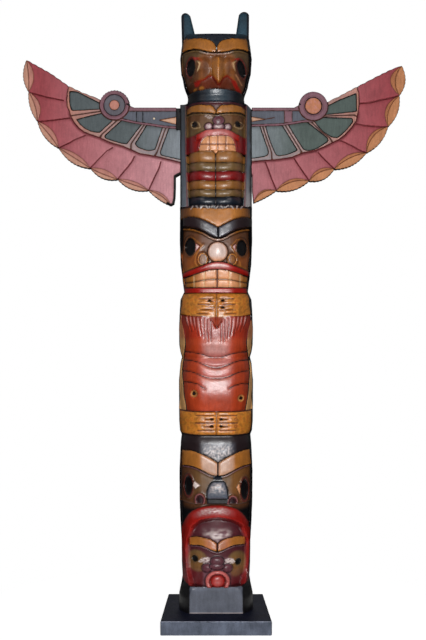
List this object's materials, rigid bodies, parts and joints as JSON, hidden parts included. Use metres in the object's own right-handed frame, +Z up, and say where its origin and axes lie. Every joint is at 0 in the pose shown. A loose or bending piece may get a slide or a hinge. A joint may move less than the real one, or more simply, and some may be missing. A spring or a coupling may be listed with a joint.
{
  "type": "totem pole",
  "caption": "Free-standing carved and painted wooden totem pole: stacked figures on one log, with two spread wing boards at the sides and a square base board.",
  "frame": {"origin": "middle of the base board's underside, where it stands on the ground", "axes": "+Z up along the log, the carved figures face -Y, and +X runs to the right of someone who looks at their faces"},
  "size_m": [0.9422, 0.263, 1.5],
  "materials": {
    "pole_paint": "carved softwood, hand painted in ochre, red, brown and black, under satin varnish",
    "wing_paint": "carved softwood board, hand painted in rose red, slate and tan, matt to satin",
    "base_paint": "sawn board, brushed slate-blue over black, worn edges, satin"
  },
  "bodies": {
    "root": {"pole": "pole_paint", "wing_left": "wing_paint", "wing_right": "wing_paint", "base_board": "base_paint"}
  },
  "joints": []
}
